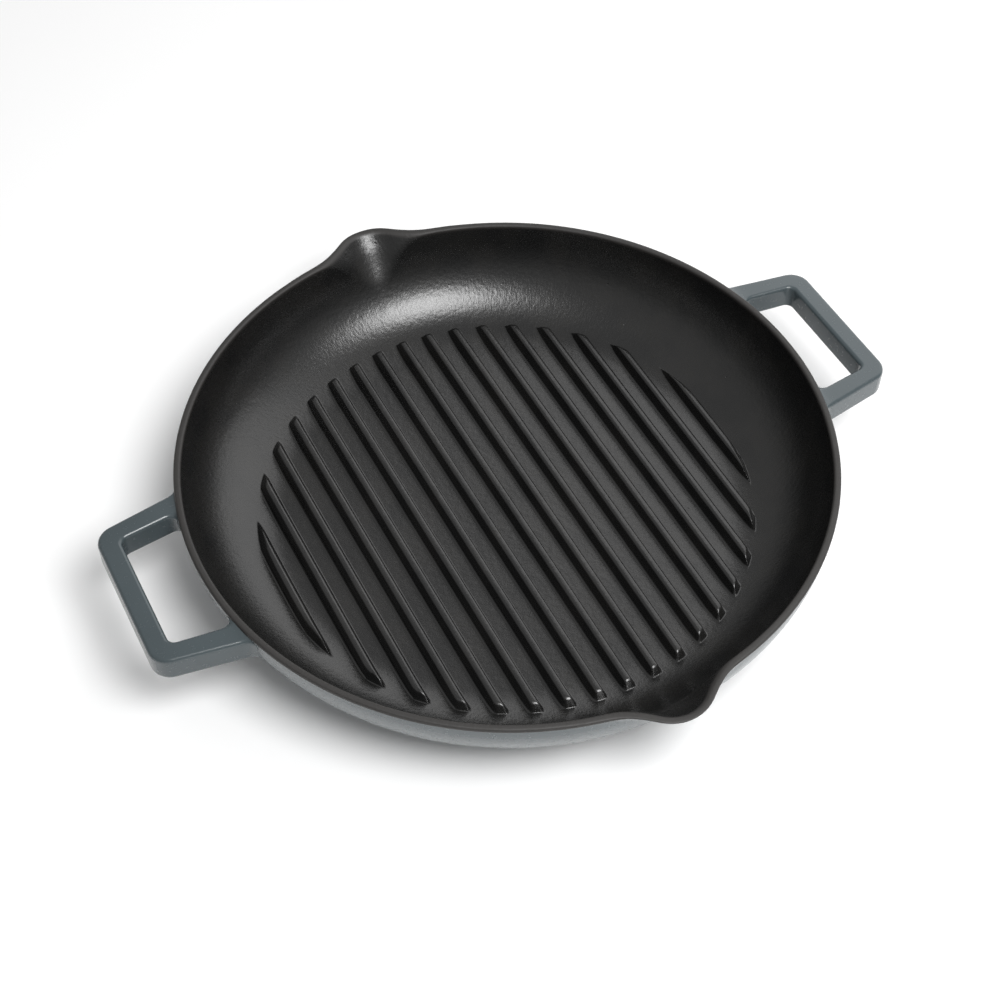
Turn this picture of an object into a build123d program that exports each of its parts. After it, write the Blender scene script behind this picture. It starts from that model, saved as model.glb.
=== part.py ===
from build123d import *
import math
import os

# Round cast iron grill pan with two loop handles, two pour lips and a ribbed floor.
# The real object is one enamelled casting, so nothing moves.
# Its floor, wall, lips, ribs and handles are separate solids that meet face to face.
# Origin: bottom centre. X runs through both handles, Y along the ribs, Z up. Millimetres, degrees.

# Pan
rim_diameter = 300.0
pan_height = 48.4
wall_overhang = 48.5  # how far the rim stands out past the flat base, all round
floor_thickness = 5.5
rim_width = 3.3
rim_rounding = 1.2

# Pour lips, in plan a rounded nose that blends into the rim
lip_reach = 12.0
lip_nose_radius = 21.0
lip_blend_radius = 60.0
lip_seat = 0.4  # how far inside the rim's edge the lip's blend ends
lip_thickness = 3.3
lip_lean = 41.0  # angle of the lip's wall from the vertical
lip_run_share = 0.9  # how much of the way to the nose's cone point the lip's wall runs

# Grill ribs
rib_count = 17  # an odd number, so that one rib lies on the middle line
rib_height = 6.0
rib_base_width = 5.7
rib_crest_width = 3.4
rib_rounding = 1.1
rib_run_out = 12.8  # how far the circle that the ribs' feet end on lies outside the flat floor
outer_rib_inset = 5.7  # from an outermost rib's middle to that circle, on the middle line
rib_end_setback = 2.4  # how much shorter a rib is at its crest than at its foot, each end

# Handles
handle_reach = 33.3
handle_drop = 2.4  # from the rim's top down to the handle's top
handle_thickness = 13.0
handle_root_width = 87.2  # over both arms, at the rim
handle_end_width = 76.4  # over both arms, at the outer edge
handle_bar_width = 9.8
arm_root_width = 10.6  # across one arm, at the rim
arm_end_width = 8.0  # from the handle's outer corner to the window's, across one arm
window_seat = 4.0  # how far inside the rim the window's plan starts
handle_corner_radius = 9.0
window_corner_radius = 3.5
window_root_radius = 8.0
handle_rounding = 1.8

# Sizes worked out from those
rim_radius = rim_diameter / 2
base_radius = rim_radius - wall_overhang
inner_rim_radius = rim_radius - rim_width
shoulder_height = pan_height - rim_rounding  # where the rim's rounding starts
wall_arc_radius = (wall_overhang**2 + shoulder_height**2) / (2 * shoulder_height)
hollow_arc_radius = wall_arc_radius - floor_thickness
arc_overshoot = wall_arc_radius - shoulder_height
floor_edge_radius = inner_rim_radius - math.sqrt(hollow_arc_radius**2 - arc_overshoot**2)
lip_nose_centre = rim_radius + lip_reach - lip_nose_radius
rib_field_radius = floor_edge_radius + rib_run_out
ribs_each_side = (rib_count - 1) / 2
rib_pitch = (rib_field_radius - outer_rib_inset) / ribs_each_side
handle_end = rim_radius + handle_reach
window_root_width = handle_root_width - 2 * arm_root_width
window_end_width = handle_end_width - 2 * arm_end_width
cut_overrun = rim_width  # how far cutting shapes pass the surfaces that they cut
eighth_turn = math.pi / 4


def arc_point(radius, height, reach, angle):
    """Point of a wall section at an angle below the horizontal, about a centre at a radius and height."""
    return (radius + reach * math.cos(angle), height - reach * math.sin(angle))


def wall_arc(centre_radius, reach):
    """Arc of a wall section, from flat at the bottom to the shoulder of the rim."""
    start = (centre_radius, wall_arc_radius - reach)
    top_angle = math.asin(arc_overshoot / reach)
    middle = arc_point(centre_radius, wall_arc_radius, reach, (math.pi / 2 + top_angle) / 2)
    return start, middle, arc_point(centre_radius, wall_arc_radius, reach, top_angle)


def bowl_body():
    """The round bowl without its hollow."""
    start, middle, shoulder = wall_arc(base_radius, wall_arc_radius)
    round_centre = rim_radius - rim_rounding
    top = (round_centre, pan_height)
    bend = arc_point(round_centre, shoulder_height, rim_rounding, -eighth_turn)
    with BuildSketch(Plane.XZ) as section:
        with BuildLine():
            Line((0, 0), start)
            ThreePointArc(start, middle, shoulder)
            ThreePointArc(shoulder, bend, top)
            Polyline(top, (0, pan_height), (0, 0))
        make_face()
    return revolve(section.sketch, Axis.Z)


def bowl_hollow():
    """The space inside the round bowl, run on past the rim."""
    start, middle, shoulder = wall_arc(floor_edge_radius, hollow_arc_radius)
    round_centre = inner_rim_radius + rim_rounding
    top = (round_centre, pan_height)
    bend = arc_point(round_centre, shoulder_height, rim_rounding, -3 * eighth_turn)
    lid = pan_height + cut_overrun
    with BuildSketch(Plane.XZ) as section:
        with BuildLine():
            Line((0, start[1]), start)
            ThreePointArc(start, middle, shoulder)
            ThreePointArc(shoulder, bend, top)
            Polyline(top, (round_centre, lid), (0, lid), (0, start[1]))
        make_face()
    return revolve(section.sketch, Axis.Z)


def lip_blend_centre():
    """Centre of the arc that joins the lip's nose to the rim, in plan."""
    to_rim = rim_radius - lip_seat + lip_blend_radius
    to_nose = lip_nose_radius + lip_blend_radius
    y = (to_rim**2 - to_nose**2 + lip_nose_centre**2) / (2 * lip_nose_centre)
    return Vector(math.sqrt(to_rim**2 - y**2), y)


def lip_plan(inset, height):
    """Plan of one pour lip, drawn in by an inset, with a tail that runs into the bowl."""
    blend = lip_blend_centre()
    nose = Vector(0, lip_nose_centre)
    nose_end = nose + (blend - nose).normalized() * (lip_nose_radius - inset)
    rim_end = blend.normalized() * (rim_radius - lip_seat - inset)
    to_middle = ((nose_end - blend).normalized() + (rim_end - blend).normalized()).normalized()
    middle = blend + to_middle * (lip_blend_radius + inset)
    tail = (rim_end.X, lip_nose_centre - lip_nose_radius)
    with BuildSketch(Plane.XY.offset(height)) as plan:
        with BuildLine() as right_half:
            ThreePointArc(nose_end, middle, rim_end)
            Polyline(rim_end, tail, (0, tail[1]))
        with BuildLine() as whole:
            add(right_half.line)
            mirror(right_half.line, about=Plane.YZ)
            ThreePointArc(nose_end, (0, lip_nose_centre + lip_nose_radius - inset), (-nose_end.X, nose_end.Y))
        make_face(whole.edges())
    return plan.sketch


def lip_solid(set_back):
    """Leaning solid of one pour lip, its wall set back square to itself from the lip's outer face."""
    lean = math.radians(lip_lean)
    overhang = rim_rounding * (math.tan(lean) + 1 / math.cos(lean) - 1)
    inset = set_back / math.cos(lean) - overhang
    run = lip_run_share * (lip_nose_radius - inset)
    low_plan = lip_plan(inset + run, pan_height - run / math.tan(lean))
    return loft([lip_plan(inset, pan_height), low_plan], ruled=True)


def lip_body():
    """Outer form of one pour lip, with the rim's rounding along its top edge."""
    solid = lip_solid(0)
    top_arcs = solid.edges().filter_by(GeomType.CIRCLE).group_by(Axis.Z)[-1]
    return fillet(top_arcs, rim_rounding)


def both_ends(shape):
    """A shape and its copy half a turn round the pan."""
    return [shape, shape.rotate(Axis.Z, 180)]


def base_column():
    """Column over the pan's flat base, as tall as the pan."""
    return Cylinder(base_radius, pan_height, align=(Align.CENTER, Align.CENTER, Align.MIN))


def rib_field():
    """Low cone on the floor that cuts the ribs' ends."""
    crest = rib_field_radius - rib_end_setback
    cone = Cone(rib_field_radius, crest, rib_height, align=(Align.CENTER, Align.CENTER, Align.MIN))
    return Pos(0, 0, floor_thickness) * cone


def rib(x):
    """One rib along Y at a place on X, its crest rounded along both edges."""
    foot, crest = rib_base_width / 2, rib_crest_width / 2
    top = floor_thickness + rib_height
    corners = [(foot, floor_thickness), (crest, top), (-crest, top), (-foot, floor_thickness)]
    section = make_face(Polyline(*corners, close=True))
    section = fillet(section.vertices().group_by(Axis.Y)[-1], rib_rounding)
    return Pos(x, 0, 0) * extrude(Plane.XZ * section, amount=rib_field_radius, both=True) & rib_field()


def handle_side(root_width, end_width, end_place):
    """Inner and outer end of a handle's slanting side line, run on from the rim into the wall."""
    lean = (root_width - end_width) / 2 / (end_place - rim_radius)
    inner_place = math.sqrt(rim_radius**2 - (root_width / 2) ** 2) - handle_thickness
    return (inner_place, root_width / 2 + lean * (rim_radius - inner_place)), (end_place, end_width / 2)


def handle_frame(inner, outer):
    """Four-sided face between a handle's side line and its mirror image."""
    return make_face(Polyline(inner, outer, (outer[0], -outer[1]), (inner[0], -inner[1]), close=True))


def handle_plan():
    """Plan of the handle on the +X side."""
    outline = handle_frame(*handle_side(handle_root_width, handle_end_width, handle_end))
    outline = fillet(outline.vertices().group_by(Axis.X)[-1], handle_corner_radius)
    bar_place = handle_end - handle_bar_width
    window = handle_frame(*handle_side(window_root_width, window_end_width, bar_place))
    window -= Circle(rim_radius - window_seat)
    window = fillet(window.vertices().group_by(Axis.X)[-1], window_corner_radius)
    window = fillet(window.vertices().group_by(Axis.X)[0], window_root_radius)
    return outline - window


def handle_solid():
    """The handle on the +X side, its root running into the wall."""
    bottom = pan_height - handle_drop - handle_thickness
    solid = Pos(0, 0, bottom) * extrude(handle_plan(), amount=handle_thickness)
    levels = solid.edges().filter_by(Plane.XY).group_by(Axis.Z)
    return fillet(levels[0] + levels[-1], handle_rounding)


def write(name, shape):
    """Write one solid to its own file."""
    shape.label = name
    export_step(shape, os.path.join("parts", name + ".step"))


def build_parts():
    """Build every region of the casting, by name."""
    body = bowl_body()
    round_hollow = bowl_hollow()
    hollow = round_hollow.fuse(*both_ends(lip_solid(lip_thickness)))
    bowl = body - hollow
    parts = {"floor_plate": bowl & base_column(), "side_wall": bowl - base_column()}
    for end, lip in zip(("back", "front"), both_ends(lip_body())):
        parts["pour_lip_" + end] = lip - body - hollow
    for index in range(rib_count):
        parts[f"grill_rib_{index + 1:02d}"] = rib((index - ribs_each_side) * rib_pitch) & round_hollow
    for side, handle in zip(("right", "left"), both_ends(handle_solid())):
        parts["handle_" + side] = handle - body
    return parts


os.makedirs("parts", exist_ok=True)
for part_name, part_shape in build_parts().items():
    write(part_name, part_shape)
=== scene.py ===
import logging
import math
from dataclasses import dataclass
from enum import Enum

import bmesh
import bpy
from mathutils import Matrix, Vector


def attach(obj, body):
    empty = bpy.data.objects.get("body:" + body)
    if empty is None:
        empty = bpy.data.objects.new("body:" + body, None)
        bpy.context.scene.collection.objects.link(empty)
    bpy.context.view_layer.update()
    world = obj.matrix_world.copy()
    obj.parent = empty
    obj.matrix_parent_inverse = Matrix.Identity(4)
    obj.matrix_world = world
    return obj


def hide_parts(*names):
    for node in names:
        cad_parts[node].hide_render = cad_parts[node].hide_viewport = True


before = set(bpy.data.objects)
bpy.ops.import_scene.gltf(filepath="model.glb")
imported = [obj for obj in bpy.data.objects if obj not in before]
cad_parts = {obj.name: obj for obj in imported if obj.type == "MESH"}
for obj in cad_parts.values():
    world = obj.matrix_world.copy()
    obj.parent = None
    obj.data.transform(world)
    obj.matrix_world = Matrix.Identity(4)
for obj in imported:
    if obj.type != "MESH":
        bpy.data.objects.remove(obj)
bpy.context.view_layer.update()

# The pan is one enamelled casting on one body, and nothing on it moves.
# X runs through both handles, Y along the ribs and through both lips, Z up from the flat base.
# Lengths are in metres and angles in radians.
LOG = logging.getLogger("grill_pan")
MM = 0.001
QUARTER_TURN = math.pi / 2
SAME_PLACE = 0.001 * MM
BODY = "root"
FLOAT = "NodeSocketFloat"
VECTOR = "NodeSocketVector"

Span = tuple[float, float]
Colour = tuple[float, float, float, float]


class Slot(Enum):
    """The record's material slots, one for each enamel."""

    GREY = "grey_enamel"
    BLACK = "black_enamel"


class Side(Enum):
    """The two handles, each by the name that its solid and its piece share."""

    RIGHT = "handle_right"
    LEFT = "handle_left"


def smooth_max(first: float, second: float, blend: float) -> float:
    """Larger of two lengths, with a soft change from one to the other.

    Args:
        first: one length.
        second: the other length.
        blend: difference of the two below which the change is soft.

    Returns:
        The softened larger length.
    """
    share = max(blend - abs(first - second), 0.0) / blend
    return max(first, second) + share * share * blend / 4


def smooth_step(value: float, low: float, high: float) -> float:
    """Soft step from 0 at a low value to 1 at a high one."""
    share = min(max((value - low) / (high - low), 0.0), 1.0)
    return share * share * (3 - 2 * share)


def grid_number(place: float, count: int) -> int:
    """Number of a row or column, in a grid from -1 to 1 that has a count of them."""
    return round((place + 1) / 2 * (count - 1))


class SectionPen:
    """Draws a section in the XZ plane as one chain of edges, stroke by stroke."""

    def __init__(self, radius: float, height: float) -> None:
        """Start a section at a place."""
        self.mesh = bmesh.new()
        self.tip = bmesh.ops.create_vert(self.mesh, co=(radius, 0, height))["vert"][0]

    def line(self, radius: float, height: float, steps: int = 1) -> None:
        """Draw a straight stroke.

        Args:
            radius: where the stroke ends, from the pan's axis.
            height: where the stroke ends, above the pan's base.
            steps: number of edges in the stroke.
        """
        start = self.tip.co.copy()
        end = Vector((radius, 0, height))
        for step in range(1, steps + 1):
            made = bmesh.ops.extrude_vert_indiv(self.mesh, verts=[self.tip])
            self.tip = made["verts"][0]
            self.tip.co = start.lerp(end, step / steps)

    def arc(self, radius: float, height: float, turn: float, steps: int) -> None:
        """Draw an arc.

        Args:
            radius: the arc centre's distance from the pan's axis.
            height: the arc centre's height.
            turn: angle of the arc, positive clockwise as seen from the front.
            steps: number of edges in the arc.
        """
        made = bmesh.ops.spin(
            self.mesh, geom=[self.tip], cent=(radius, 0, height), axis=(0, 1, 0),
            angle=turn, steps=steps, use_duplicate=False,
        )
        self.tip = next(item for item in made["geom_last"] if isinstance(item, bmesh.types.BMVert))

    def spun(self, steps: int) -> bmesh.types.BMesh:
        """Turn the section once round the pan's axis.

        Args:
            steps: number of faces round the pan.

        Returns:
            The closed mesh.
        """
        bmesh.ops.spin(
            self.mesh, geom=self.mesh.verts[:] + self.mesh.edges[:], cent=(0, 0, 0), axis=(0, 0, 1),
            angle=math.tau, steps=steps, use_merge=True, use_duplicate=False,
        )
        bmesh.ops.remove_doubles(self.mesh, verts=self.mesh.verts, dist=SAME_PLACE)
        return self.mesh


@dataclass(frozen=True)
class Piece:
    """Puts a finished mesh into the scene as one named piece of the pan."""

    name: str
    slot: Slot
    sharp_angle: float = math.radians(38)

    def place(self, mesh: bmesh.types.BMesh, material: bpy.types.Material, *nodes: str) -> bpy.types.Object:
        """Make the piece.

        Args:
            mesh: its finished shape, which is used up.
            material: its finish.
            nodes: solids of the frame that it stands for.

        Returns:
            The new object, riding on the pan's body.
        """
        bmesh.ops.recalc_face_normals(mesh, faces=mesh.faces)
        for face in mesh.faces:
            face.smooth = True
        data = bpy.data.meshes.new(self.name)
        mesh.to_mesh(data)
        mesh.free()
        data.set_sharp_from_angle(angle=self.sharp_angle)
        data.materials.append(material)
        made = bpy.data.objects.new(self.name, data)
        bpy.context.scene.collection.objects.link(made)
        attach(made, BODY)
        if nodes:
            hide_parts(*nodes)
        LOG.info("%s: %d faces", self.name, len(data.polygons))
        return made


@dataclass(frozen=True)
class LipForm:
    """One pour lip in plan and section: a leaning nose that blends into the rim."""

    reach: float = 12.0 * MM
    nose_radius: float = 21.0 * MM
    blend_radius: float = 60.0 * MM
    seat: float = 0.4 * MM  # how far inside the rim's edge the blend ends
    thickness: float = 2.6 * MM
    lean: float = math.radians(39.5)
    taper: float = 0.22  # how much the nose's radius shrinks for each unit of drop
    least_nose_share: float = 0.25  # share of the nose's radius below which it doesn't shrink
    zone_share: float = 1 / 3  # of the height and of the rim radius: a lip moves nothing lower or wider
    fade_start: float = math.radians(15)  # direction at which the lip starts to fade into the rim
    fade_end: float = math.radians(19)
    dip: float = 1.1 * MM
    dip_width: float = 14.0 * MM
    dip_depth: float = 9.0 * MM
    outer_blend: float = 2.2 * MM
    inner_blend: float = 0.9 * MM

    def reach_at(self, angle: float, drop: float, wall: float, rim_radius: float) -> float:
        """Distance of the lip's plan from the pan's axis.

        Args:
            angle: direction, measured from the lip's middle.
            drop: how far the lip leans in at this height.
            wall: how far the plan lies inside the lip's outer face.
            rim_radius: radius of the round rim.

        Returns:
            The plan's radius in that direction.
        """
        least_nose = self.nose_radius * self.least_nose_share
        nose = max(self.nose_radius - self.taper * drop - wall, least_nose)
        centre = rim_radius + self.reach - drop - wall - nose
        rim = rim_radius - self.seat - drop - wall
        bend = self.blend_radius + wall
        to_rim, to_nose = rim + bend, nose + bend
        blend_y = (to_rim**2 - to_nose**2 + centre**2) / (2 * centre)
        blend = Vector((math.sqrt(to_rim**2 - blend_y**2), blend_y))
        joint = Vector((0, centre)) + (blend - Vector((0, centre))).normalized() * nose
        if angle <= math.atan2(joint.x, joint.y):
            across = centre * math.sin(angle)
            return centre * math.cos(angle) + math.sqrt(max(nose**2 - across**2, 0.0))
        if angle <= math.atan2(blend.x, blend.y):
            along = blend.x * math.sin(angle) + blend.y * math.cos(angle)
            span = bend**2 - (blend.length_squared - along**2)
            return along - math.sqrt(max(span, 0.0))
        return rim


@dataclass(frozen=True)
class BowlForm:
    """The pan's round bowl in section, and the pour lips that change it."""

    rim_radius: float = 150.0 * MM
    height: float = 48.4 * MM
    base_radius: float = 101.5 * MM
    floor: float = 5.5 * MM
    rim_width: float = 3.3 * MM
    rounding: float = 1.2 * MM
    coat: float = 0.3 * MM  # thickness of the black enamel's shell
    step: float = 0.12 * MM  # how far the grey lies below the black where they meet
    wrap: float = 1.7 * MM  # how far down the rim's outside the black runs
    turns: int = 480  # faces round the pan
    arc_steps: int = 44
    round_steps: int = 6
    flat_steps: int = 9
    lip: LipForm = LipForm()

    @property
    def shoulder(self) -> float:
        """Height at which the rim's rounding starts."""
        return self.height - self.rounding

    @property
    def arc_radius(self) -> float:
        """Radius of the outer wall's arc, which is also its centre's height."""
        run = self.rim_radius - self.base_radius
        return (run**2 + self.shoulder**2) / (2 * self.shoulder)

    @property
    def inner_rim(self) -> float:
        """Radius of the rim's inner edge."""
        return self.rim_radius - self.rim_width

    @property
    def floor_edge(self) -> float:
        """Radius at which the flat floor turns up into the wall."""
        reach = self.arc_radius - self.floor
        return self.inner_rim - math.sqrt(reach**2 - (self.arc_radius - self.shoulder) ** 2)

    def wall_radius(self, height: float, start: float, reach: float) -> float:
        """Radius of a wall surface at a height, for the arc that starts at a radius."""
        level = min(max(height, self.arc_radius - reach), self.shoulder)
        return start + math.sqrt(reach**2 - (self.arc_radius - level) ** 2)

    def rise(self, radius: float) -> float:
        """Height of the inner surface above the flat floor.

        Args:
            radius: distance from the pan's axis.

        Returns:
            The height.
        """
        out = max(radius - self.floor_edge, 0.0)
        reach = self.arc_radius - self.floor
        return reach - math.sqrt(max(reach**2 - out**2, 0.0))

    def draw_hollow(self, pen: SectionPen, depth: float) -> None:
        """Draw the floor, the inner wall and the rim's inner rounding, out from the pan's middle.

        Args:
            pen: the pen, already at the middle of the floor.
            depth: how far below the visible surface the stroke lies.
        """
        reach = self.arc_radius - self.floor + depth
        top_angle = math.asin((self.arc_radius - self.shoulder) / reach)
        pen.line(self.floor_edge, self.floor - depth, self.flat_steps)
        pen.arc(self.floor_edge, self.arc_radius, top_angle - QUARTER_TURN, self.arc_steps)
        pen.arc(self.inner_rim + self.rounding, self.shoulder, QUARTER_TURN, self.round_steps)

    def casting(self) -> bmesh.types.BMesh:
        """Iron bowl with its grey outside, a coat's thickness below the black inside.

        Returns:
            Its closed mesh.
        """
        under = self.coat
        pen = SectionPen(0, self.floor - under)
        self.draw_hollow(pen, under)
        line_height = self.height - self.wrap
        pen.line(self.rim_radius - self.rounding, self.height - under)
        pen.line(self.rim_radius - under, self.shoulder - under)
        pen.line(self.rim_radius - under, line_height + under)
        pen.line(self.rim_radius - self.step, line_height)
        reach = self.arc_radius - self.step
        start_angle = math.asin((self.arc_radius - line_height) / reach)
        pen.line(self.base_radius + reach * math.cos(start_angle), line_height - self.step)
        pen.arc(self.base_radius, self.arc_radius - self.step, QUARTER_TURN - start_angle, self.arc_steps)
        pen.line(self.base_radius, 0)
        pen.line(0, 0, self.flat_steps)
        return self.with_lips(pen.spun(self.turns))

    def inside_coat(self) -> bmesh.types.BMesh:
        """Black enamel shell over the floor, the inner wall and the rim.

        Returns:
            Its closed mesh.
        """
        pen = SectionPen(0, self.floor)
        self.draw_hollow(pen, 0)
        line_height = self.height - self.wrap
        pen.line(self.rim_radius - self.rounding, self.height)
        pen.arc(self.rim_radius - self.rounding, self.shoulder, QUARTER_TURN, self.round_steps)
        pen.line(self.rim_radius, line_height + self.step)
        pen.line(self.rim_radius - self.step, line_height)
        under = self.coat - self.step / 2
        pen.line(self.rim_radius - under, line_height)
        pen.line(self.rim_radius - under, self.shoulder)
        pen.line(self.rim_radius - self.rounding, self.height - under)
        pen.line(self.inner_rim + self.rounding, self.height - under)
        reach = self.arc_radius - self.floor + under
        top_angle = math.asin((self.arc_radius - self.shoulder) / reach)
        pen.line(self.floor_edge + reach * math.cos(top_angle), self.shoulder)
        pen.arc(self.floor_edge, self.arc_radius, QUARTER_TURN - top_angle, self.arc_steps)
        pen.line(0, self.floor - under, self.flat_steps)
        return self.with_lips(pen.spun(self.turns))

    def with_lips(self, mesh: bmesh.types.BMesh) -> bmesh.types.BMesh:
        """Push the wall and the rim out into the two pour lips.

        Args:
            mesh: a round shape about the pan's axis.

        Returns:
            The same mesh, changed.
        """
        lowest, widest = self.height * self.lip.zone_share, self.rim_radius * self.lip.zone_share
        for vert in mesh.verts:
            radius = math.hypot(vert.co.x, vert.co.y)
            if vert.co.z < lowest or abs(vert.co.x) > widest:
                continue
            angle = math.atan2(abs(vert.co.x), abs(vert.co.y))
            shift = self.lip_shift(angle, radius, vert.co.z)
            scale = (radius + shift) / radius
            vert.co.x *= scale
            vert.co.y *= scale
            share = smooth_step(vert.co.z, self.height - self.lip.dip_depth, self.height)
            vert.co.z -= share * self.lip.dip * math.exp(-((vert.co.x / self.lip.dip_width) ** 2))
        return mesh

    def lip_shift(self, angle: float, radius: float, height: float) -> float:
        """How far a lip pushes a point of the bowl outwards.

        Args:
            angle: direction of the point, measured from the lip's middle.
            radius: the point's distance from the pan's axis.
            height: the point's height.

        Returns:
            The distance, which is zero away from the lips.
        """
        lip = self.lip
        outer = self.wall_radius(height, self.base_radius, self.arc_radius)
        inner = self.wall_radius(height, self.floor_edge, self.arc_radius - self.floor)
        drop = (self.height - height) * math.tan(lip.lean)
        wall = lip.thickness / math.cos(lip.lean)
        outer_lip = lip.reach_at(angle, drop, 0.0, self.rim_radius)
        inner_lip = lip.reach_at(angle, drop, wall, self.rim_radius)
        outer_shift = smooth_max(outer, outer_lip, lip.outer_blend) - outer
        inner_shift = smooth_max(inner, inner_lip, lip.inner_blend) - inner
        share = min(max((radius - inner) / (outer - inner), 0.0), 1.0)
        fade = 1 - smooth_step(angle, lip.fade_start, lip.fade_end)
        return fade * (inner_shift + share * (outer_shift - inner_shift))

    def build(self, grey: bpy.types.Material, black: bpy.types.Material) -> None:
        """Make the bowl's two pieces.

        Args:
            grey: finish of the outside.
            black: finish of the inside and of the rim.
        """
        nodes = ("floor_plate", "side_wall", "pour_lip_back", "pour_lip_front")
        Piece("bowl_casting", Slot.GREY).place(self.casting(), grey, *nodes)
        Piece("inside_enamel", Slot.BLACK).place(self.inside_coat(), black)


@dataclass(frozen=True)
class Flank:
    """Section of one sloping side of a rib, with a filleted root and a rounded crest."""

    run: float
    height: float
    root_radius: float
    crest_radius: float

    @property
    def slope(self) -> float:
        """Angle of the side above the floor."""
        return math.atan2(self.height, self.run)

    @property
    def root_run(self) -> float:
        """Distance from the foot's edge out to where the root's fillet starts."""
        return self.root_radius * math.tan(self.slope / 2)

    @property
    def crest_centre(self) -> float:
        """Distance inside the foot's edge of the crest rounding's centre."""
        return self.run + self.crest_radius * math.tan(self.slope / 2)

    def rise_at(self, depth: float) -> float:
        """Height of the section above the floor.

        Args:
            depth: distance inside the foot's edge, negative outside it.

        Returns:
            The height.
        """
        if depth <= -self.root_run:
            return 0.0
        if depth < self.root_run * math.cos(self.slope):
            run = depth + self.root_run
            return self.root_radius - math.sqrt(self.root_radius**2 - run**2)
        run = self.crest_centre - depth
        if run > self.crest_radius * math.sin(self.slope):
            return depth * math.tan(self.slope)
        if run > 0:
            return self.height - self.crest_radius + math.sqrt(self.crest_radius**2 - run**2)
        return self.height

    def depths(self, steps: int) -> list[float]:
        """Distances inside the foot's edge of the section's points, from the root to the crest.

        Args:
            steps: number of strokes in each rounding.

        Returns:
            The distances.
        """
        angles = [self.slope * step / steps for step in range(steps + 1)]
        root = [self.root_radius * math.sin(angle) - self.root_run for angle in angles]
        crest = [self.crest_centre - self.crest_radius * math.sin(angle) for angle in reversed(angles)]
        return root + crest


@dataclass(frozen=True)
class RibForm:
    """The raised ribs of the floor, each one skin with a round crest, sloping ends and a filleted root."""

    bowl: BowlForm
    pitch: float = 13.85 * MM
    foot_width: float = 5.7 * MM
    field_radius: float = 116.5 * MM  # radius of the circle that the ribs end on
    side: Flank = Flank(run=1.15 * MM, height=6.0 * MM, root_radius=1.3 * MM, crest_radius=1.5 * MM)
    end: Flank = Flank(run=2.4 * MM, height=6.0 * MM, root_radius=0.9 * MM, crest_radius=2.4 * MM)
    sink: float = 0.006 * MM  # how far the skin's edge lies below the bowl's surface
    buried: float = 0.5 * MM  # how far below the floor the rib's hidden underside lies
    arc_steps: int = 8
    row_length: float = 3.0 * MM
    least_rows: int = 2

    def rows(self, place: float) -> list[float]:
        """Places of a rib's rows of vertices, as shares of its half length, from one end to the other.

        Args:
            place: the rib's place across the pan.

        Returns:
            The shares, from below -1 to above 1.
        """
        half_length = math.sqrt(self.field_radius**2 - place**2)
        share = self.field_radius / half_length**2
        ends = [1 - depth * share for depth in self.end.depths(self.arc_steps)]
        count = max(round(ends[-1] * half_length / self.row_length), self.least_rows)
        half = ends + [ends[-1] * (1 - step / count) for step in range(1, count)]
        return [-row for row in half] + [0.0] + half[::-1]

    def build(self, index: int, count: int, finish: bpy.types.Material) -> None:
        """Make one rib.

        Args:
            index: number of the rib, from the left handle.
            count: number of ribs.
            finish: its material.
        """
        place = (index - (count - 1) / 2) * self.pitch
        rows = self.rows(place)
        half = [self.foot_width / 2 - depth for depth in self.side.depths(self.arc_steps)]
        columns = [-offset for offset in half] + [0.0] + half[::-1]
        mesh = bmesh.new()
        bmesh.ops.create_grid(mesh, x_segments=len(columns) - 1, y_segments=len(rows) - 1, size=1)
        for vert in mesh.verts:
            column = columns[grid_number(vert.co.x, len(columns))]
            row = rows[grid_number(vert.co.y, len(rows))]
            vert.co = self.skin_point(place, column, row)
        edge = [item for item in mesh.edges if item.is_boundary]
        made = bmesh.ops.extrude_edge_only(mesh, edges=edge)["geom"]
        for vert in [item for item in made if isinstance(item, bmesh.types.BMVert)]:
            vert.co.z = self.bowl.floor - self.buried
        below = [item for item in made if isinstance(item, bmesh.types.BMEdge) and item.is_boundary]
        bmesh.ops.contextual_create(mesh, geom=below)
        name = f"rib_{index + 1:02d}"
        Piece(name, Slot.BLACK).place(mesh, finish, f"grill_{name}")

    def skin_point(self, place: float, column: float, row: float) -> Vector:
        """Point of a rib's skin.

        Args:
            place: the rib's place across the pan.
            column: distance across from the rib's middle.
            row: place along the rib as a share of its half length at that column.

        Returns:
            The point.
        """
        x = place + column
        y = row * math.sqrt(self.field_radius**2 - x**2)
        radius = math.hypot(x, y)
        side = self.side.rise_at(self.foot_width / 2 - abs(column)) / self.side.height
        share = side * self.end.rise_at(self.field_radius - radius) / self.end.height
        rise = self.side.height * share - self.sink
        return Vector((x, y, self.bowl.floor + rise + self.bowl.rise(radius) * (1 - share)))


def bevel(mesh: bmesh.types.BMesh, edges: list[bmesh.types.BMEdge], size: float, segments: int) -> None:
    """Round a set of edges.

    Args:
        mesh: the mesh.
        edges: its edges to round.
        size: distance from each edge to where its rounding starts.
        segments: number of faces across the rounding.
    """
    bmesh.ops.bevel(
        mesh, geom=edges, offset=size, offset_type="OFFSET", segments=segments, profile=0.5,
        affect="EDGES", clamp_overlap=False, material=-1,
    )


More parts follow.
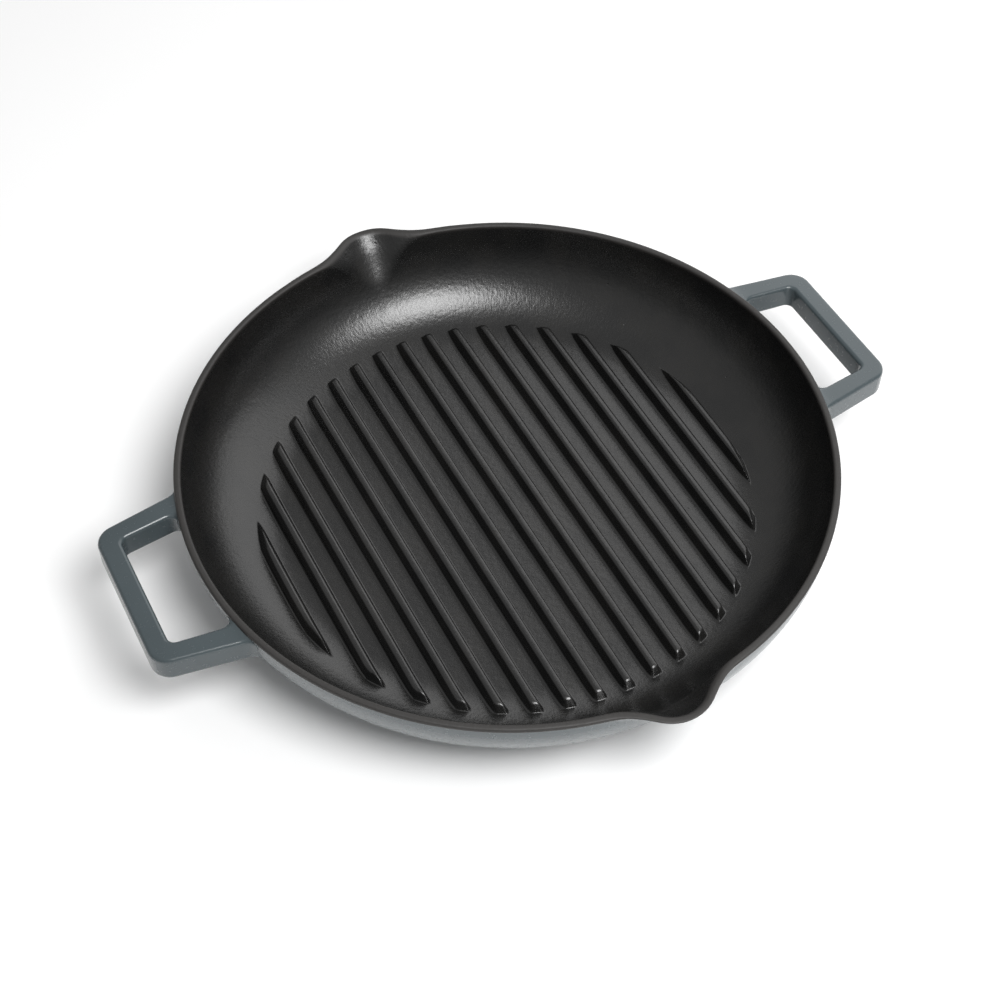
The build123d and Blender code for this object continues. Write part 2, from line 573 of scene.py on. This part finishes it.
@dataclass(frozen=True)
class HandleForm:
    """One loop handle: two arms and a bar, cast on to the wall below the rim."""

    bowl: BowlForm
    reach: float = 33.3 * MM
    drop: float = 2.4 * MM
    thickness: float = 13.0 * MM
    root_width: float = 87.2 * MM
    end_width: float = 76.4 * MM
    bar_width: float = 9.8 * MM
    window_root_width: float = 66.0 * MM
    window_end_width: float = 60.4 * MM
    corner_radius: float = 9.0 * MM
    window_corner_radius: float = 3.5 * MM
    corner_share: float = 0.86  # share of a corner's radius at which its bevel starts
    corner_segments: int = 8
    edge_rounding: float = 1.8 * MM
    edge_segments: int = 4
    edge_angle: float = math.radians(40)  # least angle between two faces for their edge to be rounded
    root_radius: float = 3.4 * MM
    window_root_radius: float = 6.0 * MM
    top_flare_share: float = 0.22  # share of the root's flare that lifts the upper face
    buried: float = 3.5 * MM  # how far inside the rim the arms start
    buried_margin: float = 1.0 * MM  # how much farther out an edge still counts as buried
    tolerance: float = 0.1 * MM
    seat: float = 2.0 * MM  # how far inside the wall's surface the arms may reach
    first_cut: float = -7.2 * MM  # place, from the rim, of the first cut that gives the flare its vertices
    cut_step: float = 0.8 * MM
    cut_count: int = 15

    @property
    def end_x(self) -> float:
        """Place of the handle's outer face."""
        return self.bowl.rim_radius + self.reach

    def side_line(self, root_width: float, end_width: float, end_x: float) -> tuple[Vector, Vector]:
        """Inner and outer end of an arm's side line in plan, on the +X, +Y side.

        Args:
            root_width: width over both arms at the rim.
            end_width: width over both arms at the line's outer end.
            end_x: place of the outer end.

        Returns:
            The two ends.
        """
        rim = self.bowl.rim_radius
        lean = (end_width - root_width) / 2 / (end_x - rim)
        start_x = math.sqrt((rim - self.buried) ** 2 - (root_width / 2) ** 2)
        return Vector((start_x, root_width / 2 + lean * (start_x - rim))), Vector((end_x, end_width / 2))

    def build(self, side: Side, finish: bpy.types.Material) -> None:
        """Make one handle.

        Args:
            side: which of the two.
            finish: its material.
        """
        mesh = self.blank()
        self.round_corners(mesh)
        self.round_rims(mesh)
        self.flare_root(mesh)
        if side is Side.LEFT:
            bmesh.ops.rotate(mesh, verts=mesh.verts, cent=(0, 0, 0), matrix=Matrix.Rotation(math.pi, 3, "Z"))
        handle = Piece(side.value, Slot.GREY).place(mesh, finish, side.value)
        handle.modifiers.new("face_weight", "WEIGHTED_NORMAL").keep_sharp = True

    def blank(self) -> bmesh.types.BMesh:
        """Make the handle on +X with square corners and edges.

        Returns:
            Its mesh.
        """
        outer = self.side_line(self.root_width, self.end_width, self.end_x)
        window = self.side_line(self.window_root_width, self.window_end_width, self.end_x - self.bar_width)
        top = self.bowl.height - self.drop
        mesh = bmesh.new()
        corners = [
            bmesh.ops.create_vert(mesh, co=(*place, top))["vert"][0]
            for place in (outer[0], outer[1], window[1], window[0])
        ]
        bmesh.ops.contextual_create(mesh, geom=corners)
        bmesh.ops.mirror(mesh, geom=mesh.verts[:] + mesh.edges[:] + mesh.faces[:], axis="Y")
        bar_start = self.end_x - self.bar_width - self.tolerance
        ends = [edge for edge in mesh.edges if all(vert.co.x > bar_start for vert in edge.verts)]
        bmesh.ops.bridge_loops(mesh, edges=ends)
        made = bmesh.ops.extrude_face_region(mesh, geom=mesh.faces[:], use_keep_orig=True)["geom"]
        below = [item for item in made if isinstance(item, bmesh.types.BMVert)]
        bmesh.ops.translate(mesh, verts=below, vec=(0, 0, -self.thickness))
        bmesh.ops.recalc_face_normals(mesh, faces=mesh.faces)
        return mesh

    def round_corners(self, mesh: bmesh.types.BMesh) -> None:
        """Round the handle's upright corners in plan.

        Args:
            mesh: the handle with square corners.
        """
        sizes = {self.end_x: self.corner_radius, self.end_x - self.bar_width: self.window_corner_radius}
        for place, radius in sizes.items():
            edges = [
                edge for edge in mesh.edges
                if all(abs(vert.co.x - place) < self.tolerance for vert in edge.verts)
                and abs(edge.verts[0].co.y - edge.verts[1].co.y) < self.tolerance
            ]
            bevel(mesh, edges, radius * self.corner_share, self.corner_segments)

    def round_rims(self, mesh: bmesh.types.BMesh) -> None:
        """Round the edges between the handle's level faces and its upright ones.

        Args:
            mesh: the handle with round corners and square edges.
        """
        root_end = self.bowl.rim_radius - self.buried + self.buried_margin
        edges = []
        for edge in mesh.edges:
            level = abs(edge.verts[0].co.z - edge.verts[1].co.z) < self.tolerance
            buried = all(math.hypot(vert.co.x, vert.co.y) < root_end for vert in edge.verts)
            if level and not buried and edge.calc_face_angle(0) > self.edge_angle:
                edges.append(edge)
        bevel(mesh, edges, self.edge_rounding, self.edge_segments)

    def flare_root(self, mesh: bmesh.types.BMesh) -> None:
        """Widen the arms where they meet the wall, as the fillet of the casting does.

        Args:
            mesh: the handle with straight arms.
        """
        bowl = self.bowl
        for number in range(self.cut_count):
            place = bowl.rim_radius + self.first_cut + number * self.cut_step
            bmesh.ops.bisect_plane(
                mesh, geom=mesh.verts[:] + mesh.edges[:] + mesh.faces[:], dist=SAME_PLACE,
                plane_co=(place, 0, 0), plane_no=(1, 0, 0),
            )
        mesh.normal_update()
        moves = {vert: self.flared(vert.co, vert.normal) for vert in mesh.verts}
        for vert, place in moves.items():
            vert.co = place

    def flared(self, place: Vector, normal: Vector) -> Vector:
        """Place of a point of an arm after its root has been widened.

        Args:
            place: the point.
            normal: the arm's normal there.

        Returns:
            The new place, as far from the wall as before.
        """
        bowl = self.bowl
        radius = math.hypot(place.x, place.y)
        gap = radius - bowl.wall_radius(place.z, bowl.base_radius, bowl.arc_radius)
        faces_window = normal.y * place.y < 0
        fillet = self.window_root_radius if faces_window else self.root_radius
        if gap >= fillet:
            return place.copy()
        away = max(gap, 0.0)
        out = fillet - math.sqrt(fillet**2 - (fillet - away) ** 2)
        lift = self.top_flare_share if normal.z > 0 else self.root_radius / fillet
        moved = place + Vector((0, normal.y, normal.z * lift)) * out
        wall = bowl.wall_radius(moved.z, bowl.base_radius, bowl.arc_radius)
        scale = (wall + max(gap, -self.seat)) / math.hypot(moved.x, moved.y)
        return Vector((moved.x * scale, moved.y * scale, moved.z))


class NodeSheet:
    """Adds and links the nodes of one material or node group."""

    def __init__(self, tree: bpy.types.NodeTree) -> None:
        """Work on a node tree."""
        self.tree = tree

    def add(self, kind: str, inputs: dict | None = None, **settings: object) -> bpy.types.Node:
        """Add a node.

        Args:
            kind: the node's type.
            inputs: its sockets' values or the sockets that feed them, by name or number.
            settings: its own settings.

        Returns:
            The node.
        """
        node = self.tree.nodes.new(kind)
        for name, value in settings.items():
            setattr(node, name, value)
        for name, value in (inputs or {}).items():
            if isinstance(value, bpy.types.NodeSocket):
                self.tree.links.new(value, node.inputs[name])
            else:
                node.inputs[name].default_value = value
        return node

    def math(self, operation: str, first: object, second: object = 0.0) -> bpy.types.NodeSocket:
        """Result of a sum or another operation on two numbers or sockets."""
        return self.add("ShaderNodeMath", {0: first, 1: second}, operation=operation).outputs[0]

    def noise(
        self, vector: object, scale: object, detail: float = 2.0, rough: float = 0.5,
    ) -> bpy.types.NodeSocket:
        """Noise between about 0 and 1 at points of a vector."""
        sockets = {"Vector": vector, "Scale": scale, "Detail": detail, "Roughness": rough}
        return self.add("ShaderNodeTexNoise", sockets).outputs["Fac"]

    def map(self, value: object, source: Span, target: Span = (0.0, 1.0)) -> bpy.types.NodeSocket:
        """Move a value from one range to another and hold it there, with soft ends.

        Args:
            value: the value, or the socket that gives it.
            source: the value's two ends.
            target: what the two ends become.

        Returns:
            The socket with the moved value.
        """
        sockets = {
            "Value": value, "From Min": source[0], "From Max": source[1],
            "To Min": target[0], "To Max": target[1],
        }
        return self.add("ShaderNodeMapRange", sockets, interpolation_type="SMOOTHSTEP").outputs["Result"]

    def mix(self, share: object, first: object, second: object) -> bpy.types.NodeSocket:
        """Mix two colours.

        Args:
            share: how much of the second colour there is, from 0 to 1.
            first: the first colour, or the socket that gives it.
            second: the second colour, or the socket that gives it.

        Returns:
            The socket with the mixed colour.
        """
        node = self.add("ShaderNodeMix", data_type="RGBA")
        for name, value in (("Factor_Float", share), ("A_Color", first), ("B_Color", second)):
            socket = next(item for item in node.inputs if item.identifier == name)
            if isinstance(value, bpy.types.NodeSocket):
                self.tree.links.new(value, socket)
            else:
                socket.default_value = value
        return next(item for item in node.outputs if item.identifier == "Result_Color")


def new_group(name: str, inputs: dict[str, str], outputs: dict[str, str]) -> bpy.types.ShaderNodeTree:
    """Start a shader node group.

    Args:
        name: the group's name.
        inputs: socket type of each input, by name.
        outputs: socket type of each output, by name.

    Returns:
        The group's tree.
    """
    tree = bpy.data.node_groups.new(name, "ShaderNodeTree")
    for label, kind in inputs.items():
        tree.interface.new_socket(name=label, in_out="INPUT", socket_type=kind)
    for label, kind in outputs.items():
        tree.interface.new_socket(name=label, in_out="OUTPUT", socket_type=kind)
    return tree


@dataclass(frozen=True)
class EnamelSkin:
    """Fired enamel's surface: a fine grain over slow waves, and pinholes, for any enamel."""

    grain_detail: float = 3.0
    grain_rough: float = 0.6
    grain_weight: float = 0.38
    wave_detail: float = 1.0
    cloud_share: float = 0.12  # scale of the colour clouds as a share of the waves' scale
    hole_edge: Span = (0.05, 0.15)  # from a pinhole's bottom to its edge, in cells

    def group(self) -> bpy.types.ShaderNodeTree:
        """Build the surface as a shader node group.

        Returns:
            The group's tree.
        """
        sizes = ("Grain Scale", "Wave Scale", "Pinhole Scale", "Pinhole Share")
        results = ("Height", "Grain", "Clouds")
        inputs = {"Vector": VECTOR, **dict.fromkeys(sizes, FLOAT)}
        tree = new_group("enamel_skin", inputs, dict.fromkeys(results, FLOAT))
        sheet = NodeSheet(tree)
        source = sheet.add("NodeGroupInput").outputs
        vector = source["Vector"]
        grain = sheet.noise(vector, source["Grain Scale"], self.grain_detail, self.grain_rough)
        wave = sheet.noise(vector, source["Wave Scale"], self.wave_detail)
        cell_inputs = {"Vector": vector, "Scale": source["Pinhole Scale"]}
        cells = sheet.add("ShaderNodeTexVoronoi", cell_inputs).outputs
        draw = sheet.add("ShaderNodeSeparateColor", {0: cells["Color"]}).outputs[0]
        chosen = sheet.math("LESS_THAN", draw, source["Pinhole Share"])
        hole = sheet.math("MULTIPLY", sheet.map(cells["Distance"], self.hole_edge, (1.0, 0.0)), chosen)
        raised = sheet.math("ADD", sheet.math("MULTIPLY", grain, self.grain_weight), wave)
        height = sheet.math("SUBTRACT", raised, hole)
        clouds = sheet.noise(vector, sheet.math("MULTIPLY", source["Wave Scale"], self.cloud_share))
        sheet.add("NodeGroupOutput", {"Height": height, "Grain": grain, "Clouds": clouds})
        return tree


@dataclass(frozen=True)
class RayStreaks:
    """Streaks that run out from the pan's axis, as grinding and spraying leave them."""

    break_scale: float = 420.0  # how often a streak breaks up along its length, to a metre
    detail: float = 3.0
    rough: float = 0.6

    def group(self) -> bpy.types.ShaderNodeTree:
        """Build the streaks as a shader node group.

        Returns:
            The group's tree.
        """
        inputs = {"Vector": VECTOR, "Rays": FLOAT}
        tree = new_group("ray_streaks", inputs, {"Streaks": FLOAT, "Radius": FLOAT})
        sheet = NodeSheet(tree)
        source = sheet.add("NodeGroupInput").outputs
        parts = sheet.add("ShaderNodeSeparateXYZ", {0: source["Vector"]}).outputs
        flat = sheet.add("ShaderNodeCombineXYZ", {0: parts[0], 1: parts[1]}).outputs[0]
        radius = sheet.add("ShaderNodeVectorMath", {0: flat}, operation="LENGTH").outputs["Value"]
        unit = sheet.add("ShaderNodeVectorMath", {0: flat}, operation="NORMALIZE").outputs["Vector"]
        spread = {0: unit, "Scale": source["Rays"]}
        ray = sheet.add("ShaderNodeVectorMath", spread, operation="SCALE").outputs["Vector"]
        along = sheet.math("MULTIPLY", radius, self.break_scale)
        lift = sheet.add("ShaderNodeCombineXYZ", {2: along}).outputs[0]
        spot = sheet.add("ShaderNodeVectorMath", {0: ray, 1: lift}, operation="ADD").outputs["Vector"]
        streaks = sheet.noise(spot, 1.0, self.detail, self.rough)
        sheet.add("NodeGroupOutput", {"Streaks": streaks, "Radius": radius})
        return tree


@dataclass(frozen=True)
class SkinScales:
    """One enamel's values for the shared surface, with its scales in features to a metre."""

    grain: float
    wave: float
    pinhole: float
    pinhole_share: float

    def values(self) -> dict[str, float]:
        """Values by the names of the shared surface's inputs.

        Returns:
            The values.
        """
        return {
            "Grain Scale": self.grain, "Wave Scale": self.wave,
            "Pinhole Scale": self.pinhole, "Pinhole Share": self.pinhole_share,
        }


@dataclass(frozen=True)
class EnamelGroups:
    """The effects that the enamels share, each built once."""

    skin: bpy.types.ShaderNodeTree
    rays: bpy.types.ShaderNodeTree


class EnamelSheet(NodeSheet):
    """A material with one enamel shader, ready to be dressed."""

    def __init__(self, name: str) -> None:
        """Start the material.

        Args:
            name: the material's name.
        """
        self.material = bpy.data.materials.new(name)
        self.material.use_nodes = True
        super().__init__(self.material.node_tree)
        self.shader = self.tree.nodes["Principled BSDF"]
        self.place = self.add("ShaderNodeTexCoord").outputs["Object"]

    def fill(self, tree: bpy.types.ShaderNodeTree, values: dict) -> bpy.types.Node:
        """Place a shared effect.

        Args:
            tree: the effect's node group.
            values: values of its inputs, by name.

        Returns:
            The group's node.
        """
        node = self.add("ShaderNodeGroup", {}, node_tree=tree)
        self.tree.links.new(self.place, node.inputs["Vector"])
        for name, value in values.items():
            node.inputs[name].default_value = value
        return node

    def feed(self, name: str, socket: bpy.types.NodeSocket) -> None:
        """Feed one input of the shader."""
        self.tree.links.new(socket, self.shader.inputs[name])

    def relief(self, height: bpy.types.NodeSocket, depth: float) -> None:
        """Feed the shader's normal from a height, with the depth of its relief in metres."""
        bump = self.add("ShaderNodeBump", {"Height": height, "Distance": depth, "Strength": 1.0})
        self.feed("Normal", bump.outputs["Normal"])


@dataclass(frozen=True)
class BlackEnamel:
    """Satin black enamel of the inside, browner and drier on the rim."""

    groups: EnamelGroups
    rim_height: float
    scales: SkinScales = SkinScales(grain=1500.0, wave=440.0, pinhole=200.0, pinhole_share=0.03)
    rays: float = 150.0  # fineness of the streaks round the pan
    deep: Colour = (0.0052, 0.0053, 0.0053, 1)
    worn: Colour = (0.0090, 0.0087, 0.0082, 1)
    rim: Colour = (0.0130, 0.0112, 0.0098, 1)
    cloud_span: Span = (0.35, 0.65)
    cove_span: Span = (0.104, 0.120)  # radii between which the wall's streaks set in
    rim_start: float = 2.6 * MM  # depth below the rim's top at which the rim's finish sets in
    rim_full: float = 0.9 * MM
    grain_span: Span = (0.3, 0.7)
    roughness: Span = (0.23, 0.32)
    rim_dryness: float = 0.34
    streak_weight: float = 0.9
    relief_depth: float = 0.08 * MM
    refraction: float = 1.65

    def material(self) -> bpy.types.Material:
        """Build the material.

        Returns:
            The material.
        """
        sheet = EnamelSheet(Slot.BLACK.value)
        skin = sheet.fill(self.groups.skin, self.scales.values()).outputs
        rays = sheet.fill(self.groups.rays, {"Rays": self.rays}).outputs
        height = sheet.add("ShaderNodeSeparateXYZ", {0: sheet.place}).outputs[2]
        on_rim = sheet.map(height, (self.rim_height - self.rim_start, self.rim_height - self.rim_full))
        cove = sheet.map(rays["Radius"], self.cove_span)
        ground = sheet.mix(sheet.map(skin["Clouds"], self.cloud_span), self.deep, self.worn)
        sheet.feed("Base Color", sheet.mix(on_rim, ground, self.rim))
        satin = sheet.map(skin["Grain"], self.grain_span, self.roughness)
        dry = sheet.math("MULTIPLY", on_rim, self.rim_dryness)
        sheet.feed("Roughness", sheet.math("ADD", satin, dry))
        wall_streaks = sheet.math("MULTIPLY", rays["Streaks"], cove)
        streaks = sheet.math("MULTIPLY", wall_streaks, self.streak_weight)
        sheet.relief(sheet.math("ADD", skin["Height"], streaks), self.relief_depth)
        sheet.shader.inputs["IOR"].default_value = self.refraction
        return sheet.material


@dataclass(frozen=True)
class GreyEnamel:
    """Glossy blue-grey enamel of the outside and of the handles."""

    groups: EnamelGroups
    scales: SkinScales = SkinScales(grain=420.0, wave=150.0, pinhole=120.0, pinhole_share=0.0)
    deep: Colour = (0.049, 0.064, 0.070, 1)
    light: Colour = (0.060, 0.077, 0.084, 1)
    cloud_span: Span = (0.3, 0.7)
    grain_span: Span = (0.3, 0.7)
    roughness: Span = (0.20, 0.28)
    relief_depth: float = 0.008 * MM
    refraction: float = 1.5
    coat_weight: float = 0.2
    coat_roughness: float = 0.08

    def material(self) -> bpy.types.Material:
        """Build the material.

        Returns:
            The material.
        """
        sheet = EnamelSheet(Slot.GREY.value)
        skin = sheet.fill(self.groups.skin, self.scales.values()).outputs
        share = sheet.map(skin["Clouds"], self.cloud_span)
        sheet.feed("Base Color", sheet.mix(share, self.deep, self.light))
        sheet.feed("Roughness", sheet.map(skin["Grain"], self.grain_span, self.roughness))
        sheet.relief(skin["Height"], self.relief_depth)
        sheet.shader.inputs["IOR"].default_value = self.refraction
        sheet.shader.inputs["Coat Weight"].default_value = self.coat_weight
        sheet.shader.inputs["Coat Roughness"].default_value = self.coat_roughness
        return sheet.material


@dataclass(frozen=True)
class Lamp:
    """One soft lamp, aimed at the pan."""

    name: str
    direction: tuple[float, float, float]
    distance: float
    size: float
    power: float
    target: tuple[float, float, float] = (0.0, 0.0, 0.02)

    def hang(self) -> None:
        """Put the lamp into the scene."""
        data = bpy.data.lights.new(self.name, "AREA")
        data.shape = "DISK"
        data.size = self.size
        data.energy = self.power
        lamp = bpy.data.objects.new(self.name, data)
        aim = Vector(self.direction).normalized()
        lamp.location = Vector(self.target) + aim * self.distance
        lamp.rotation_mode = "QUATERNION"
        lamp.rotation_quaternion = (-aim).to_track_quat("-Z", "Y")
        bpy.context.scene.collection.objects.link(lamp)


@dataclass(frozen=True)
class Studio:
    """Pale floor, plain soft light and the camera at the photograph's view."""

    camera_place: tuple[float, float, float] = (-0.24426, -0.45606, 0.64503)
    camera_target: tuple[float, float, float] = (-0.008664, -0.009743, 0.025)
    camera_roll: float = math.radians(0.654)
    camera_lens: float = 62.91
    floor_size: float = 6.0
    floor_colour: Colour = (0.97, 0.97, 0.97, 1)
    horizon_level: float = 1.0
    low_level: float = 0.16
    high_level: float = 0.42
    low_band: Span = (0.02, 0.07)  # heights on the unit sphere between which the light falls off
    high_band: Span = (0.12, 0.55)
    lamps: tuple[Lamp, ...] = (
        Lamp("front_lamp", direction=(0.12, -0.50, 0.86), distance=1.3, size=0.72, power=15.6),
        Lamp("back_softbox", direction=(0.78, 0.43, 0.45), distance=1.6, size=2.2, power=13.4),
    )

    def build(self) -> None:
        """Make the stage, the lamps, the world and the camera."""
        self.lay_floor()
        self.light_world()
        for lamp in self.lamps:
            lamp.hang()
        self.set_camera()

    def lay_floor(self) -> None:
        """Lay the pale floor that takes the pan's shadow."""
        mesh = bmesh.new()
        bmesh.ops.create_grid(mesh, x_segments=1, y_segments=1, size=self.floor_size / 2)
        data = bpy.data.meshes.new("floor")
        mesh.to_mesh(data)
        mesh.free()
        material = bpy.data.materials.new("floor_paper")
        material.use_nodes = True
        shader = material.node_tree.nodes["Principled BSDF"]
        shader.inputs["Base Color"].default_value = self.floor_colour
        shader.inputs["Roughness"].default_value = 1.0
        shader.inputs["Specular IOR Level"].default_value = 0.0
        data.materials.append(material)
        floor = bpy.data.objects.new("floor", data)
        bpy.context.scene.collection.objects.link(floor)

    def light_world(self) -> None:
        """Fill the world with plain white light, full at the horizon and weaker above it."""
        world = bpy.data.worlds.new("studio")
        bpy.context.scene.world = world
        world.use_nodes = True
        sheet = NodeSheet(world.node_tree)
        direction = sheet.add("ShaderNodeTexCoord").outputs["Generated"]
        height = sheet.add("ShaderNodeSeparateXYZ", {0: direction}).outputs[2]
        below = sheet.map(height, self.low_band, (self.horizon_level - self.low_level, 0.0))
        above = sheet.map(height, self.high_band, (self.low_level, self.high_level))
        shader = world.node_tree.nodes["Background"]
        shader.inputs["Color"].default_value = (1, 1, 1, 1)
        world.node_tree.links.new(sheet.math("ADD", below, above), shader.inputs["Strength"])

    def set_camera(self) -> None:
        """Set the camera at the photograph's view."""
        data = bpy.data.cameras.new("camera")
        data.lens = self.camera_lens
        camera = bpy.data.objects.new("camera", data)
        place, target = Vector(self.camera_place), Vector(self.camera_target)
        back = (place - target).normalized()
        right = Vector((0, 0, 1)).cross(back).normalized()
        up = back.cross(right)
        turned_right = right * math.cos(self.camera_roll) + up * math.sin(self.camera_roll)
        turned_up = up * math.cos(self.camera_roll) - right * math.sin(self.camera_roll)
        axes = Matrix((turned_right, turned_up, back)).transposed()
        camera.rotation_mode = "QUATERNION"
        camera.rotation_quaternion = axes.to_quaternion()
        camera.location = place
        bpy.context.scene.collection.objects.link(camera)
        bpy.context.scene.camera = camera


def main() -> None:
    """Build the pan's pieces and the studio round them."""
    logging.basicConfig(level=logging.INFO, format="%(name)s: %(message)s")
    bpy.context.scene.view_settings.view_transform = "Standard"
    bowl = BowlForm()
    groups = EnamelGroups(EnamelSkin().group(), RayStreaks().group())
    grey = GreyEnamel(groups).material()
    black = BlackEnamel(groups, bowl.height).material()
    bowl.build(grey, black)
    rib = RibForm(bowl)
    rib_count = sum(name.startswith("grill_rib_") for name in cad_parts)
    for index in range(rib_count):
        rib.build(index, rib_count, black)
    handle = HandleForm(bowl)
    for side in Side:
        handle.build(side, grey)
    Studio().build()
    bpy.context.view_layer.update()


if __name__ == "__main__":
    main()
